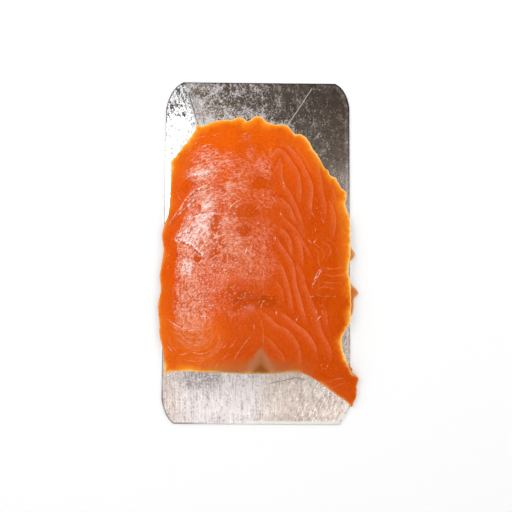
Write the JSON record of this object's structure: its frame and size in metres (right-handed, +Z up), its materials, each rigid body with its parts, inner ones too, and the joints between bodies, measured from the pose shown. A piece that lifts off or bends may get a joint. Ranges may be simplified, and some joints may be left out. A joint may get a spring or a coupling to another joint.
{
  "type": "smoked steelhead trout",
  "caption": "Cold-smoked trout in thin wide slices, laid back in the shape of the fillet on a foil-faced pack card with cut corners.",
  "frame": {"origin": "middle of the card's flat underside", "axes": "+Z up out of the card, +Y along the card to the head end of the fillet, +X across to its belly side"},
  "size_m": [0.1503, 0.258, 0.0108],
  "materials": {
    "foil_card": "creased, scuffed silver foil on white board",
    "smoked_flesh": "moist, translucent orange flesh with pale flake lines",
    "lower_flesh": "moist, translucent orange flesh"
  },
  "bodies": {
    "root": {"card": "foil_card", "bottom_slice": "lower_flesh", "middle_slice": "lower_flesh", "top_slice": "smoked_flesh"}
  },
  "joints": []
}
